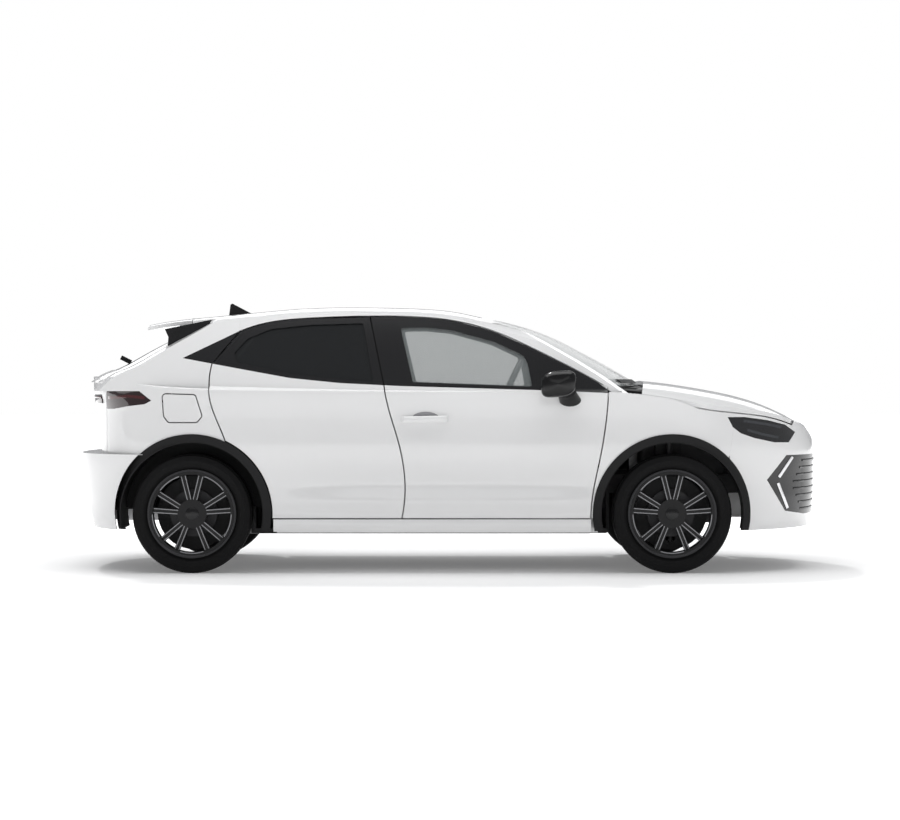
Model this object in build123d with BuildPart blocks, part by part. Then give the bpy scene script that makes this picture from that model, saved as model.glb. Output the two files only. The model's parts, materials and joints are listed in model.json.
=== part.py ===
"""Five-door hatchback car, built from separate panels on a hollow body with turning wheels, steering, doors and lids."""

import math
import os

from build123d import *

os.makedirs("parts", exist_ok=True)

# Overall size. The frame has +X to the nose, +Y to the car's left and +Z up, with the floor at zero.
LENGTH = 4116.0
WIDTH = 1768.0
NOSE_X = LENGTH / 2
TAIL_X = -LENGTH / 2
WHEELBASE = 2591.0
FRONT_OVERHANG = 848.0
FRONT_AXLE_X = NOSE_X - FRONT_OVERHANG
REAR_AXLE_X = FRONT_AXLE_X - WHEELBASE
TRACK = 1500.0
TYRE_RADIUS = 321.0
TYRE_WIDTH = 205.0
SHUT_GAP = 7.0
FAR = 1200.0
OVERLAP = 1.0


def curve(points, at):
    """Height of a smooth curve through (place, height) points, which never overshoots between two of them."""
    places = [p for p, _ in points]
    heights = [h for _, h in points]
    last = len(points) - 1
    rise = [(heights[i + 1] - heights[i]) / (places[i + 1] - places[i]) for i in range(last)]
    slope = [rise[0]]
    for i in range(1, last):
        flat = rise[i - 1] * rise[i] <= 0
        slope.append(0.0 if flat else 2 * rise[i - 1] * rise[i] / (rise[i - 1] + rise[i]))
    slope.append(rise[-1])
    if at <= places[0]:
        return heights[0] + slope[0] * (at - places[0])
    if at >= places[-1]:
        return heights[-1] + slope[-1] * (at - places[-1])
    i = max(k for k in range(last) if places[k] <= at)
    step = places[i + 1] - places[i]
    t = (at - places[i]) / step
    return (
        heights[i] * (1 + 2 * t) * (1 - t) ** 2
        + slope[i] * step * t * (1 - t) ** 2
        + heights[i + 1] * t * t * (3 - 2 * t)
        - slope[i + 1] * step * t * t * (1 - t)
    )


def ramp(low, high, at):
    """Zero below low, one above high and a smooth step between them."""
    t = min(1.0, max(0.0, (at - low) / (high - low)))
    return t * t * (3 - 2 * t)


# The body's side, seen from the front: half its width against height.
SIDE_PROFILE = [
    (100, 790), (225, 846), (262, 864), (299, 860), (395, 866), (480, 868), (560, 876), (690, WIDTH / 2),
    (850, 872), (950, 852), (1010, 833), (1120, 780),
]
# The front and rear ends on the centre line: distance from the middle of the car against height.
NOSE_PROFILE = [(100, 1960), (225, 2032), (300, 2049), (450, NOSE_X), (620, NOSE_X), (720, 2050), (800,
    2025), (1120, 1900)]
TAIL_PROFILE = [(100, 1890), (300, 1930), (560, 1945), (720, 1950), (870, 1962), (960, 1986), (1060,
    1996), (1120, 1994)]
BUMPER_TAIL_PROFILE = [(100, 1890), (225, 1990), (330, 2034), (480, 2050), (600, -TAIL_X), (760, 2050),
    (1120, 2000)]
PLAN_MIDDLE_X = -150.0
NOSE_BLUNTNESS = 6.0
TAIL_BLUNTNESS = 8.0
CORNER_BLUNTNESS = 2.5
WALL_LOW = 100.0
WALL_HIGH = 1120.0
WALL_STEPS = 18
FIT = 0.5
DOOR_CREST_HEIGHT = 392.0
DOOR_CREST_OUT = 11.0


def steps(low, high, count):
    """Evenly spaced values from low to high."""
    return [low + (high - low) * i / count for i in range(count + 1)]


def half_width(x, z):
    """Half the body's width at its widest plan, with the crest that runs low along both doors."""
    fade = ramp(-900, -450, x) * (1 - ramp(420, 820, x))
    rise = math.exp(-(((z - DOOR_CREST_HEIGHT) / 42.0) ** 2))
    dip = math.exp(-(((z - DOOR_CREST_HEIGHT - 105) / 70.0) ** 2))
    return curve(SIDE_PROFILE, z) + fade * DOOR_CREST_OUT * (rise - 0.7 * dip)


def wall_row(z, inset, tail):
    """One level of the wall on the right-hand side, from the nose's middle round to the tail's middle."""
    ahead = curve(NOSE_PROFILE, z) - PLAN_MIDDLE_X - inset
    behind = curve(tail, z) + PLAN_MIDDLE_X - inset
    row = []
    for length, power, way in ((ahead, NOSE_BLUNTNESS, 1), (behind, TAIL_BLUNTNESS, -1)):
        straight = 0.62
        bend = math.asin(straight ** (power / 2))
        shares = [straight * i / 4 for i in range(4)]
        shares += [math.sin(bend + (math.pi / 2 - bend) * i / 9) ** (2 / power) for i in range(10)]
        points = []
        for t in shares:
            x = PLAN_MIDDLE_X + way * length * t
            y = (half_width(x, z) - inset) * max(0.0, 1 - t**power) ** (1 / CORNER_BLUNTNESS)
            points.append((x, -y))
        row.append(points)
    return row[0][:0:-1] + row[1]


def wall_block(inset, over=4.0, tail=TAIL_PROFILE):
    """The lower body as one solid block, drawn in from its outer surface by inset on every side."""
    levels = steps(WALL_LOW - over, WALL_HIGH + over, WALL_STEPS)
    rows = [[(x, y, z) for x, y in wall_row(z, inset, tail)] for z in levels]
    right = Face.make_surface_from_array_of_points(rows, tol=FIT)
    left = right.mirror(Plane.XZ)
    caps = [Face(Wire([f.edges().sort_by(Axis.Z)[end] for f in (right, left)])) for end in (0, -1)]
    return Solid(Shell([right, left, *caps]))


def sheet_block(height_at, across, along, direction, amount):
    """A block swept from a curved sheet: height_at(a, b) gives a point for each step along two lists."""
    face = Face.make_surface_from_array_of_points([[height_at(a, b) for b in across] for a in along],
        tol=0.05)
    return extrude(face, amount=amount, dir=direction, mode=Mode.PRIVATE)


# The bonnet and shoulder surface: its height along the middle, and how far it falls towards the sides.
BONNET_LINE = [(-2150, 1055), (-1990, 1062), (-1200, 1062), (0, 1055), (800, 1052), (1097, 1036), (1432,
    990), (1660, 939),
               (1859, 861), (1973, 791), (2035, 723), (2150, 590)]
SHOULDER_HALF = 880.0


def bonnet_point(x, y, drop=0.0):
    crown = 36 + 18 * ramp(900, 1700, x)
    shoulder = 62 + 34 * ramp(900, 1700, x)
    side = abs(y) / SHOULDER_HALF
    return (x, y, curve(BONNET_LINE, x) - crown * side**2 - shoulder * side**8 - drop)


# The cabin's side surface leans inwards above the belt.
BELT_HALF = 822.0
BELT_HEIGHT = 1000.0


def cabin_side_point(x, z):
    up = z - BELT_HEIGHT
    taper = 48 * ((x + 150) / 1250) ** 2 if x < -150 else 25 * ((x + 150) / 1000) ** 2
    return (x, -(BELT_HALF - 0.345 * up - 0.00029 * up * abs(up) - taper), z)


ROOF_LINE = [(-2150, 1210), (-1660, 1352), (-1524, 1377), (-1297, 1400), (-1012, 1427), (-842, 1442),
    (-580, 1451),
             (-300, 1448), (-46, 1436), (182, 1396), (420, 1344), (900, 1225), (1300, 1120)]


def roof_point(x, y):
    side = abs(y) / 640
    return (x, y, curve(ROOF_LINE, x) - 24 * side**2 - 20 * side**8)


SCREEN_LINE = [(880, 1290), (1000, 1095), (1058, 1006), (1190, 770), (1308, 523), (1400, 205), (1450,
    -10), (1520, -330)]
BACKLIGHT_LINE = [(900, -2160), (1000, -2050), (1062, -1975), (1125, -1835), (1200, -1700), (1317,
    -1478), (1400, -1330), (1520, -1130)]
SCREEN_BOW = 3.0e-4
BACKLIGHT_BOW = 3.2e-4


def screen_point(y, z):
    return (curve(SCREEN_LINE, z) - SCREEN_BOW * y * y, y, z)


def backlight_point(y, z):
    return (curve(BACKLIGHT_LINE, z) + BACKLIGHT_BOW * y * y, y, z)



def side_block(*lines, depth=FAR):
    """A block on the car's right-hand half whose outline, seen from the side, runs along the given lines."""
    with BuildPart() as block:
        with BuildSketch(Plane.XZ.offset(-OVERLAP)):
            with BuildLine():
                for points in lines:
                    if len(points) == 2:
                        Line(*points)
                    else:
                        Spline(*points)
            make_face()
        extrude(amount=depth + OVERLAP)
    return block.part


def side_polygon(*points, depth=FAR, corner=0.0, grow=0.0):
    """A block on the right-hand half with a straight-sided outline, its corners rounded and its edge moved by grow."""
    with BuildPart() as block:
        with BuildSketch(Plane.XZ.offset(-OVERLAP)):
            with BuildLine():
                Polyline(*points, close=True)
            make_face()
            if corner:
                fillet(vertices(), corner)
            if grow:
                offset(amount=grow, kind=Kind.INTERSECTION)
        extrude(amount=depth + OVERLAP)
    return block.part


def both(part):
    """A right-hand piece together with its mirror image."""
    return Part(children=[]) + part + part.mirror(Plane.XZ)


def round_bar(radius, length, place, axis):
    """A round bar centred on a place, lying along an axis."""
    turn = {"x": (0, 90, 0), "y": (90, 0, 0), "z": (0, 0, 0)}[axis]
    return Pos(*place) * Rot(*turn) * Cylinder(radius, length, mode=Mode.PRIVATE)


def slab(x, y, z):
    """A box between pairs of limits."""
    size = [b - a for a, b in (x, y, z)]
    middle = [(a + b) / 2 for a, b in (x, y, z)]
    return Pos(*middle) * Box(*size, mode=Mode.PRIVATE)


# The blocks that the panels are cut from.
SKIN = 14.0
DOOR_DEPTH = 86.0
FRAME_DEPTH = 36.0
PILLAR_DEPTH = 66.0

outer_walls = wall_block(0.0, 0.0)
skin_core = wall_block(SKIN)
door_core = wall_block(DOOR_DEPTH)
trim_walls = wall_block(-6.0)
under_top = sheet_block(bonnet_point, steps(-1000, 1000, 12), steps(-2150, 2150, 36), (0, 0, -1), 1300)


def lower_piece(block, core):
    """The part of the lower body inside a block, hollowed out by a core."""
    return ((outer_walls & block) & under_top) - core




def cabin_side_sheet(near, far):
    """The cabin's right side as a sheet between two depths below its surface."""
    def point(x, z):
        px, py, pz = cabin_side_point(x, z)
        return (px, py + near, pz)
    return sheet_block(point, steps(905, 1520, 12), steps(-2200, 1350, 24), (0, 1, 0), far - near)


under_roof = sheet_block(roof_point, steps(-900, 900, 12), steps(-2150, 1300, 24), (0, 0, -1), 1200)
behind_screen = sheet_block(screen_point, steps(880, 1520, 16), steps(-900, 900, 8), (-1, 0, 0), 4000)
ahead_of_backlight = sheet_block(backlight_point, steps(900, 1520, 16), steps(-900, 900, 8), (1, 0, 0),
    4000)
cabin_limit = under_roof & behind_screen & ahead_of_backlight

# Shut lines seen from the side.
DOOR_BOTTOM = 299.0
FRONT_DOOR_EDGE = [(866, 1000), (852, 827), (812, 590), (782, 440), (770, DOOR_BOTTOM)]
MIDDLE_EDGE = [(-345, 1010), (-302, 827), (-269, 719), (-232, 503), (-248, DOOR_BOTTOM)]
MIDDLE_TOP = (-425, 1391)
REAR_DOOR_EDGE = [(-1281, 1129), (-1293, 1015), (-1283, 935), (-1256, 854), (-1190, 690)]
DOOR_TOP = [(-1133, 1309), (-970, 1358), (-752, 1380), (-425, 1391), (-261, 1390), (11, 1369), (229,
    1315), (501, 1195),
            (774, 1053), (866, 1000)]
REAR_DOOR_TOP = [(-1281, 1129), (-1133, 1309)]
ARCH_RADIUS = 430.0
GAP = SHUT_GAP / 2


def moved(points, dx=0.0, dz=0.0):
    return [(x + dx, z + dz) for x, z in points]


def arch_block(axle_x, radius, depth=FAR):
    """The round space of one right-hand wheel arch."""
    return Pos(axle_x, -depth / 2, TYRE_RADIUS) * Rot(90, 0, 0) * Cylinder(radius, depth, mode=Mode.PRIVATE)


def plan_block(*lines, low=-200.0, high=1700.0):
    """An upright block on the right-hand half whose outline, seen from above, runs along the given lines."""
    with BuildPart() as block:
        with BuildSketch(Plane.XY.offset(low)):
            with BuildLine():
                for points in lines:
                    if len(points) == 2:
                        Line(*points)
                    else:
                        Spline(*points)
            make_face()
        extrude(amount=high - low)
    return block.part


def rear_block(half_widths, x=(-2300.0, -1200.0)):
    """A block on the right-hand half whose outline, seen from behind, runs out to the given (half width, height) points."""
    points = [(OVERLAP, half_widths[0][1]), *[(-y, z) for y, z in half_widths], (OVERLAP,
        half_widths[-1][1])]
    with BuildPart() as block:
        with BuildSketch(Plane.YZ.offset(x[0])):
            with BuildLine():
                Polyline(*points, close=True)
            make_face()
        extrude(amount=x[1] - x[0])
    return block.part


frame_sheet = cabin_side_sheet(0, FRAME_DEPTH)
glass_sheet = cabin_side_sheet(9, 14)
pillar_sheet = cabin_side_sheet(0, PILLAR_DEPTH) & cabin_limit
pillar_room = cabin_side_sheet(-400, PILLAR_DEPTH + 0.3)
post_sheet = cabin_side_sheet(FRAME_DEPTH + 8, FRAME_DEPTH + 114) & cabin_limit

front_arch = arch_block(FRONT_AXLE_X, ARCH_RADIUS + 0.3)
rear_arch = arch_block(REAR_AXLE_X, ARCH_RADIUS + 0.3)
rear_arch_room = arch_block(REAR_AXLE_X, ARCH_RADIUS + SHUT_GAP)

# Hinges of the doors: an upright axis just below the skin, with two knuckles on each.
HINGE_Y = 868.0
FRONT_HINGE_X = 766.0
REAR_HINGE_X = -330.0
HINGE_HEIGHTS = (630.0, 750.0)
HINGE_PIN_RADIUS = 4.0
KNUCKLE_RADIUS = 7.0
POST_FACE_Y = 705.0
POST_INNER_Y = 620.0


def hinge_pockets(hinge_x):
    """Room in a right-hand door for the two knuckles of its hinge."""
    pockets = [slab((hinge_x - 10, hinge_x + 160), (-HINGE_Y - 8, -600), (z - 20,
        z + 20)) for z in HINGE_HEIGHTS]
    return pockets[0] + pockets[1]


def hinge_pins(hinge_x):
    pins = [round_bar(HINGE_PIN_RADIUS, 46, (hinge_x, -HINGE_Y, z), "z") for z in HINGE_HEIGHTS]
    return pins[0] + pins[1]


front_top = (866 - GAP, 1000 - GAP)
middle_front_top = (-425 + GAP, 1391 - GAP)
middle_rear_top = (-425 - GAP, 1391 - GAP)
front_door_block = side_block(
    [front_top] + moved(FRONT_DOOR_EDGE[1:], -GAP),
    [(770 - GAP, DOOR_BOTTOM), (-248 + GAP, DOOR_BOTTOM)],
    moved(MIDDLE_EDGE[::-1], GAP),
    [(-345 + GAP, 1010), middle_front_top],
    [middle_front_top] + moved(DOOR_TOP[4:-1], 0, -GAP) + [front_top],
)
FRONT_WINDOW = [(-258, 1326), (-190, 1030), (455, 1006), (432, 1130), (409, 1174), (256, 1247), (27,
    1311), (-120, 1327)]

with BuildPart() as door_front_right:
    add(lower_piece(front_door_block, door_core))
    add(frame_sheet & front_door_block)
    add(side_polygon(*FRONT_WINDOW, corner=12), mode=Mode.SUBTRACT)
    add(hinge_pockets(FRONT_HINGE_X), mode=Mode.SUBTRACT)
    add(hinge_pins(FRONT_HINGE_X))

with BuildPart() as door_front_left:
    add(door_front_right.part.mirror(Plane.XZ))

with BuildPart() as glass_front_right:
    add(glass_sheet & side_polygon(*FRONT_WINDOW, corner=12, grow=-0.3))

with BuildPart() as glass_front_left:
    add(glass_front_right.part.mirror(Plane.XZ))

rear_top = (-1133 + GAP, 1309 - GAP)
rear_door_block = side_block(
    [middle_rear_top, (-345 - GAP, 1010)],
    moved(MIDDLE_EDGE, -GAP),
    [(-248 - GAP, DOOR_BOTTOM), (-1190 + GAP, DOOR_BOTTOM)],
    [(-1190 + GAP, DOOR_BOTTOM), (-1190 + GAP, 690)],
    moved(REAR_DOOR_EDGE[::-1], GAP),
    [(-1281 + GAP, 1129), rear_top],
    [rear_top] + moved(DOOR_TOP[1:3], 0, -GAP) + [middle_rear_top],
) - rear_arch_room
REAR_WINDOW = [(-402, 1034), (-462, 1352), (-752, 1343), (-965, 1320), (-1090, 1268), (-1160, 1190),
    (-1140, 1136), (-858, 1078),
               (-585, 1048)]

with BuildPart() as door_rear_right:
    add(lower_piece(rear_door_block, door_core))
    add(frame_sheet & rear_door_block)
    add(side_polygon(*REAR_WINDOW, corner=12), mode=Mode.SUBTRACT)
    add(hinge_pockets(REAR_HINGE_X), mode=Mode.SUBTRACT)
    add(hinge_pins(REAR_HINGE_X))

with BuildPart() as door_rear_left:
    add(door_rear_right.part.mirror(Plane.XZ))

with BuildPart() as glass_rear_right:
    add(glass_sheet & side_polygon(*REAR_WINDOW, corner=12, grow=-0.3))

with BuildPart() as glass_rear_left:
    add(glass_rear_right.part.mirror(Plane.XZ))

# Lamps, seen from the side.
HEADLAMP = [(1512, 842), (1604, 842), (1736, 825), (1843, 798), (1905, 757), (1862, 702), (1776, 704),
    (1661, 728), (1583, 755),
            (1540, 788)]
TAIL_LAMP = [(-2100, 982), (-1672, 982), (-1604, 931), (-1640, 912), (-1735, 901), (-1820, 886), (-2100,
    880)]
LAMP_GAP = 0.4
BONNET_HALF = [(1046, -826), (1300, -820), (1450, -808), (1560, -792), (1640, -772), (1750, -716), (1850,
    -610), (1920, -440),
               (1955, -220), (1962, 0)]
BONNET_REAR = [(1090, 0), (1084, -300), (1068, -600), (1046, -826)]
COWL_GAP = 8.0

bonnet_plan = plan_block(BONNET_HALF, [(1962, 0), (1090, 0)], BONNET_REAR)
bonnet_room_plan = plan_block(
    [(x - 2 * SHUT_GAP if i == 0 else x + SHUT_GAP * (i > 5), y - SHUT_GAP) for i, (x,
        y) in enumerate(BONNET_HALF[:-1])]
    + [(1962 + SHUT_GAP, 0)],
    [(1962 + SHUT_GAP, 0), (700, 0)],
    [(700, 0), (700, -833)],
    [(700, -833), (1046 - 2 * SHUT_GAP, -833)],
)
BONNET_THICK = 22.0
bonnet_room = bonnet_room_plan & sheet_block(
    lambda x, y: bonnet_point(x, y, -60), steps(-1000, 1000, 12), steps(-2150, 2150, 36), (0, 0, -1),
        60 + BONNET_THICK + SHUT_GAP
)
BONNET_HINGE = (1000.0, 972.0)
BONNET_ARM_Y = 590.0

bonnet_sheet = sheet_block(bonnet_point, steps(-1000, 1000, 12), steps(-2150, 2150, 36), (0, 0, -1),
    BONNET_THICK)

with BuildPart() as bonnet:
    add(both((bonnet_sheet & outer_walls) & bonnet_plan))
    with BuildSketch(Plane.XZ.offset(BONNET_ARM_Y - 8)):
        with BuildLine():
            Polyline((990, 962), (1100, 962), (1150, 985), (1150, 1000), (1060, 1000), (990, 982),
                close=True)
        make_face()
    extrude(amount=16)
    add(round_bar(6, 44, (BONNET_HINGE[0], -BONNET_ARM_Y, BONNET_HINGE[1]), "y"))
    with BuildSketch(Plane.XZ.offset(-BONNET_ARM_Y - 8)):
        with BuildLine():
            Polyline((990, 962), (1100, 962), (1150, 985), (1150, 1000), (1060, 1000), (990, 982),
                close=True)
        make_face()
    extrude(amount=16)
    add(round_bar(6, 44, (BONNET_HINGE[0], BONNET_ARM_Y, BONNET_HINGE[1]), "y"))

fender_block = side_block(
    [(866 + GAP, 1000), *moved(FRONT_DOOR_EDGE[1:], GAP)],
    [(770 + GAP, DOOR_BOTTOM), (1210, DOOR_BOTTOM)],
    [(1210, DOOR_BOTTOM), (1521, 632)],
    [(1521, 632), (1545, 790)],
    [(1545, 790), (1699.7, 1000)],
    [(1699.7, 1000), (866 + GAP, 1000)],
)
headlamp_room = side_polygon(*HEADLAMP, grow=LAMP_GAP)

with BuildPart() as front_fenders:
    add(lower_piece(fender_block, skin_core))
    add(front_arch, mode=Mode.SUBTRACT)
    add(bonnet_room, mode=Mode.SUBTRACT)
    add(headlamp_room, mode=Mode.SUBTRACT)
    mirror(about=Plane.XZ)

with BuildPart() as headlamps:
    add(lower_piece(side_polygon(*HEADLAMP), wall_block(70)))
    add(bonnet_room, mode=Mode.SUBTRACT)
    mirror(about=Plane.XZ)

nose_block = side_block(
    [(1521.3, 632), (1545.3, 790)],
    [(1545.3, 790), (1700, 1000)],
    [(1700, 1000), (2200, 1000)],
    [(2200, 1000), (2200, 240)],
    [(2200, 240), (1560, 225)],
    [(1560, 225), (1521.3, 632)],
)

grille_opening = slab((1880, 2200), (-520, 520), (330, 590))

with BuildPart() as front_bumper:
    add(lower_piece(nose_block, skin_core))
    add(front_arch, mode=Mode.SUBTRACT)
    add(bonnet_room, mode=Mode.SUBTRACT)
    add(headlamp_room, mode=Mode.SUBTRACT)
    add(grille_opening, mode=Mode.SUBTRACT)
    mirror(about=Plane.XZ)

with BuildPart() as sill_covers:
    add(slab((-940, 770), (-900, -POST_FACE_Y - 0.3), (225, DOOR_BOTTOM - SHUT_GAP)) & outer_walls)
    add(arch_block(REAR_AXLE_X, ARCH_RADIUS + 0.3), mode=Mode.SUBTRACT)
    add(arch_block(FRONT_AXLE_X, ARCH_RADIUS + 0.3), mode=Mode.SUBTRACT)
    mirror(about=Plane.XZ)

# The rear end.
TAILGATE = [(530, 640), (560, 880), (596, 990), (600, 1062), (590, 1200), (545, 1317), (530, 1450)]
TAILGATE_FRONT_X = -1408.0
ROOF_REAR_X = TAILGATE_FRONT_X + SHUT_GAP
SPOILER_REAR_X = -1649.0
SPOILER_HALF = 548.0
TAILGATE_DEPTH = 46.0
TAILGATE_HINGE = (-1362.0, 1376.0)
TAILGATE_ARM_Y = 350.0
REAR_GLASS = [(470, 1098), (478, 1120), (440, 1290), (425, 1306)]

tailgate_room = rear_block([(y + SHUT_GAP, z - 7 * (i == 0)) for i, (y, z) in enumerate(TAILGATE)],
    (-2300.0, ROOF_REAR_X))
tail_core = wall_block(TAILGATE_DEPTH)
backlight_sheet = sheet_block(backlight_point, steps(900, 1520, 16), steps(-900, 900, 8), (1, 0, 0), 62)
rear_glass_sheet = sheet_block(
    lambda y, z: (backlight_point(y, z)[0] + 14, y, z), steps(900, 1520, 16), steps(-900, 900, 8), (1, 0,
        0), 11
)
spoiler_sheet = sheet_block(roof_point, steps(-900, 900, 12), steps(-2150, 1300, 24), (0, 0, -1), 20)

with BuildPart() as tailgate:
    add(lower_piece(rear_block([(y, z) for y, z in TAILGATE if z < 1150], (-2300.0, -1560.0)), tail_core))
    add((backlight_sheet & rear_block([(600, 1030), *TAILGATE[3:]], (-2300.0,
        TAILGATE_FRONT_X))) & under_roof)
    add(spoiler_sheet & slab((SPOILER_REAR_X, TAILGATE_FRONT_X), (-SPOILER_HALF + 20, OVERLAP), (1200,
        1500)))
    add(slab((-1475, TAILGATE_FRONT_X), (-SPOILER_HALF + 20, OVERLAP), (1318, 1450)) & under_roof)
    add(rear_block(REAR_GLASS), mode=Mode.SUBTRACT)
    add(slab((-1420, -1354), (-TAILGATE_ARM_Y - 8, -TAILGATE_ARM_Y + 8), (1368, 1384)))
    add(round_bar(5, 60, (TAILGATE_HINGE[0], -TAILGATE_ARM_Y, TAILGATE_HINGE[1]), "y"))
    mirror(about=Plane.XZ)

with BuildPart() as tailgate_glass:
    add(rear_glass_sheet & rear_block([(y - 0.3, z + (0.3 if i < 2 else -0.3)) for i, (y,
        z) in enumerate(REAR_GLASS)]))
    mirror(about=Plane.XZ)

tail_lamp_room = side_polygon(*TAIL_LAMP, grow=LAMP_GAP)
quarter_block = side_block(
    moved(REAR_DOOR_EDGE, -GAP),
    [(-1190 - GAP, 690), (-1190 - GAP, 640)],
    [(-1190 - GAP, 640), (-2200, 640)],
    [(-2200, 640), (-2200, 1062)],
    [(-2200, 1062), (-1400, 1129)],
    [(-1400, 1129), (-1281 - GAP, 1129)],
)
rear_pillar_block = side_block(
    [(-1133 - GAP, 1309 + GAP), (-1281 - GAP, 1129)],
    [(-1281 - GAP, 1129), *moved(REAR_DOOR_EDGE[1:3], -GAP)],
    [(-1283 - GAP, 935), (-2300, 935)],
    [(-2300, 935), (-2300, 1520)],
    [(-2300, 1520), (-1133 - GAP, 1520)],
    [(-1133 - GAP, 1520), (-1133 - GAP, 1309 + GAP)],
)
FUEL_FLAP = [(-1541, 966), (-1364, 961), (-1326, 848), (-1353, 816), (-1506, 816), (-1531, 848)]

FLAP_HINGE = (-1365.0, -840.0)
fuel_flap_room = side_polygon(*FUEL_FLAP, corner=16, grow=6)
flap_rebate = side_polygon(*FUEL_FLAP, corner=16, grow=16) & slab((-1360, -1300), (-855.5, -780), (795, 862))

with BuildPart() as quarter_panels:
    add(lower_piece(quarter_block, skin_core))
    add(pillar_sheet & rear_pillar_block)
    add(rear_arch, mode=Mode.SUBTRACT)
    add(tail_lamp_room, mode=Mode.SUBTRACT)
    add(tailgate_room, mode=Mode.SUBTRACT)
    mirror(about=Plane.XZ)
    add(fuel_flap_room, mode=Mode.SUBTRACT)
    add(flap_rebate, mode=Mode.SUBTRACT)
    add(round_bar(4.2, 20, (*FLAP_HINGE, 890), "z"))
    add(slab((-1368, -1362), (-840, -772), (880, 900)))
    add(slab((-1368, -1284), (-782, -772), (880, 900)))
    add(slab((-1296, -1284), (-862, -772), (880, 900)))
    add(round_bar(2.56, 60, (*FLAP_HINGE, 890), "z"), mode=Mode.SUBTRACT)

with BuildPart() as tail_lamps:
    add(lower_piece(side_polygon(*TAIL_LAMP), wall_block(52)))
    add(tailgate_room, mode=Mode.SUBTRACT)
    mirror(about=Plane.XZ)

with BuildPart() as rear_bumper:
    add(wall_block(0.0, 0.0, BUMPER_TAIL_PROFILE) & slab((-2300, -1500), (-900, 900), (228, 639.7)))
    add(wall_block(SKIN, 4.0, BUMPER_TAIL_PROFILE), mode=Mode.SUBTRACT)
    add(both(rear_arch), mode=Mode.SUBTRACT)

with BuildPart() as roof_panel:
    add((spoiler_sheet & behind_screen) & slab((ROOF_REAR_X, 190), (-900, 900), (1200, 1500)))
    add(both(pillar_room), mode=Mode.SUBTRACT)
    for y in (-TAILGATE_ARM_Y, TAILGATE_ARM_Y):
        add(slab((-1500, -1344), (y - 14, y + 14), (1300, 1500)), mode=Mode.SUBTRACT)
        add(round_bar(5.05, 64, (TAILGATE_HINGE[0], y, TAILGATE_HINGE[1]), "y"), mode=Mode.SUBTRACT)

with BuildPart() as windscreen:
    add(sheet_block(screen_point, steps(880, 1520, 16), steps(-900, 900, 8), (-1, 0, 0), 14))
    add(under_roof, mode=Mode.INTERSECT)
    add(slab((190.3, 1200), (-900, 900), (1012, 1500)), mode=Mode.INTERSECT)
    add(both(pillar_room), mode=Mode.SUBTRACT)

rail_block = side_block(
    moved(DOOR_TOP[::-1], 0, GAP),
    [(-1133, 1309 + GAP), (-1133 - GAP + 0.3, 1309 + GAP)],
    [(-1133 - GAP + 0.3, 1309 + GAP), (-1133 - GAP + 0.3, 1520)],
    [(-1133 - GAP + 0.3, 1520), (1100, 1520)],
    [(1100, 1520), (1100, 950)],
    [(1100, 950), (866, 950)],
    [(866, 950), (866, 1000 + GAP)],
)
upper_post_block = side_polygon((-402, 1022), (-292, 1022), (-366, 1401), (-476, 1401))

# The front posts and the bulkhead stay behind the space that a fully steered front tyre sweeps through.
POST_FRONT_X = FRONT_AXLE_X - 395.0
TYRE_SWEEP_TOP = 610.0
with BuildPart() as side_frame_right:
    add(pillar_sheet & rail_block)
    add(post_sheet & upper_post_block)
    add(slab((745, POST_FRONT_X), (-POST_FACE_Y, -POST_INNER_Y), (300, 985)))
    add(slab((745, 885), (-POST_FACE_Y, -POST_INNER_Y), (TYRE_SWEEP_TOP, 985)))
    add(slab((870, 940), (-800, -POST_INNER_Y), (900, 985)))
    add(slab((-350, -225), (-POST_FACE_Y, -POST_INNER_Y), (300, 985)))
    add(slab((-400, -225), (-POST_FACE_Y, -POST_INNER_Y), (930, 1050)))
    add(slab((-930, POST_FRONT_X), (-POST_FACE_Y, -POST_INNER_Y), (212, 372)))

with BuildPart() as side_frame_left:
    add(side_frame_right.part.mirror(Plane.XZ))

hinge_solids = []
for hinge_x in (FRONT_HINGE_X, REAR_HINGE_X):
    for height in HINGE_HEIGHTS:
        leaf = round_bar(KNUCKLE_RADIUS, 30, (hinge_x, -HINGE_Y, height), "z")
        leaf += slab((hinge_x - 6, hinge_x + 6), (-HINGE_Y + 3, -POST_FACE_Y - 0.3), (height - 15,
            height + 15))
        leaf -= round_bar(HINGE_PIN_RADIUS + 0.08, 60, (hinge_x, -HINGE_Y, height), "z")
        hinge_solids.append(leaf)

with BuildPart() as door_hinges:
    for leaf in hinge_solids:
        add(leaf)
    mirror(about=Plane.XZ)

TRIM_WIDTH = 42.0
front_ring = arch_block(FRONT_AXLE_X, ARCH_RADIUS) - arch_block(FRONT_AXLE_X, ARCH_RADIUS - TRIM_WIDTH)
rear_ring = arch_block(REAR_AXLE_X, ARCH_RADIUS) - arch_block(REAR_AXLE_X, ARCH_RADIUS - TRIM_WIDTH)
above_sill = slab((-2300, 2300), (-1100, 10), (228, 1000))

with BuildPart() as arch_trims:
    add(((trim_walls & front_ring) & above_sill) - skin_core)
    add(((trim_walls & rear_ring) & above_sill) - skin_core)
    mirror(about=Plane.XZ)

LINER_RADIUS = ARCH_RADIUS - TRIM_WIDTH - 0.3
front_liner_limit = slab((0, 2300), (-862, -712), (240, 1000))
rear_liner_limit = slab((-2300, 0), (-862, -480), (240, 1000))

with BuildPart() as wheel_liners:
    add((arch_block(FRONT_AXLE_X, LINER_RADIUS) - arch_block(FRONT_AXLE_X,
        LINER_RADIUS - 5)) & front_liner_limit)
    add((arch_block(REAR_AXLE_X, LINER_RADIUS) - arch_block(REAR_AXLE_X,
        LINER_RADIUS - 5)) & rear_liner_limit)
    mirror(about=Plane.XZ)

grille_block = slab((1880, 2200), (-519.7, 519.7), (330.3, 589.7))

with BuildPart() as front_grille:
    add((wall_block(4.0) & grille_block) - wall_block(22.0))

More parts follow.
